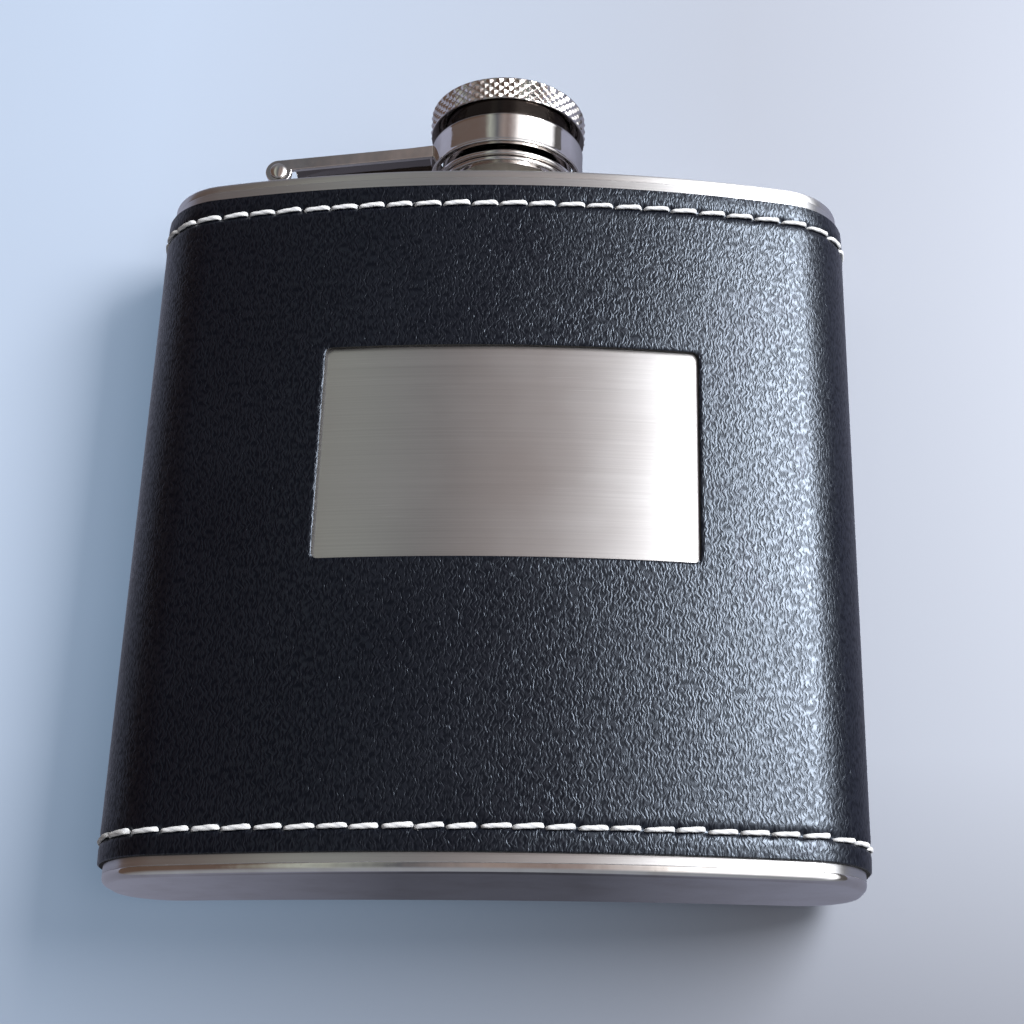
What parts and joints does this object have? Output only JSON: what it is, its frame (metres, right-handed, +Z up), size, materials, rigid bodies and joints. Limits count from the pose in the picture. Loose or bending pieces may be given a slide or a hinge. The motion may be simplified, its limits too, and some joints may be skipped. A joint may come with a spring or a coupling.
{
  "type": "hip flask",
  "caption": "Flat curved pocket flask in a stitched leather wrap with a front window, and a knurled screw cap held by a hinged arm.",
  "frame": {"origin": "middle of the base, on the surface that it stands on", "axes": "+Z up through the mouth, -Y out of the bowed front, -X towards the cap's hinge"},
  "size_m": [0.094, 0.026, 0.108],
  "materials": {
    "satin_steel": "satin, brushed sideways",
    "polished_steel": "polished",
    "black_leather": "semi-gloss, fine long grain",
    "white_thread": "matt twisted thread",
    "liner_plastic": "moulded",
    "gasket_rubber": "matt"
  },
  "bodies": {
    "flask": {"body_sleeve": "satin_steel", "bottom_plate": "polished_steel", "top_plate": "satin_steel", "neck": "polished_steel", "hinge_bracket": "polished_steel", "hinge_pin": "polished_steel", "leather_wrap": "black_leather", "top_stitching": "white_thread", "bottom_stitching": "white_thread"},
    "arm": {"retainer_arm": "polished_steel", "retainer_ring": "polished_steel"},
    "washer": {"retaining_washer": "polished_steel"},
    "cap": {"cap_head": "polished_steel", "cap_skirt": "polished_steel", "cap_liner": "liner_plastic", "cap_gasket": "gasket_rubber"}
  },
  "joints": [
    {"name": "arm_swing", "type": "hinge", "parent": "flask", "child": "arm", "pos_m": [-0.0315, 0, 0.0977], "axis": [0, -1, 0], "range_deg": [0, 175]},
    {"name": "cap_rise", "type": "slide", "parent": "arm", "child": "washer", "axis": [0, 0, 1], "range_m": [0, 0.0011]},
    {"name": "cap_turn", "type": "hinge", "parent": "washer", "child": "cap", "pos_m": [0, 0, 0.1], "axis": [0, 0, 1], "range_deg": [0, 240]}
  ],
  "couplings": [
    {"joint": "cap_rise", "follows": "cap_turn", "m_per_rad": 0.00023873}
  ]
}
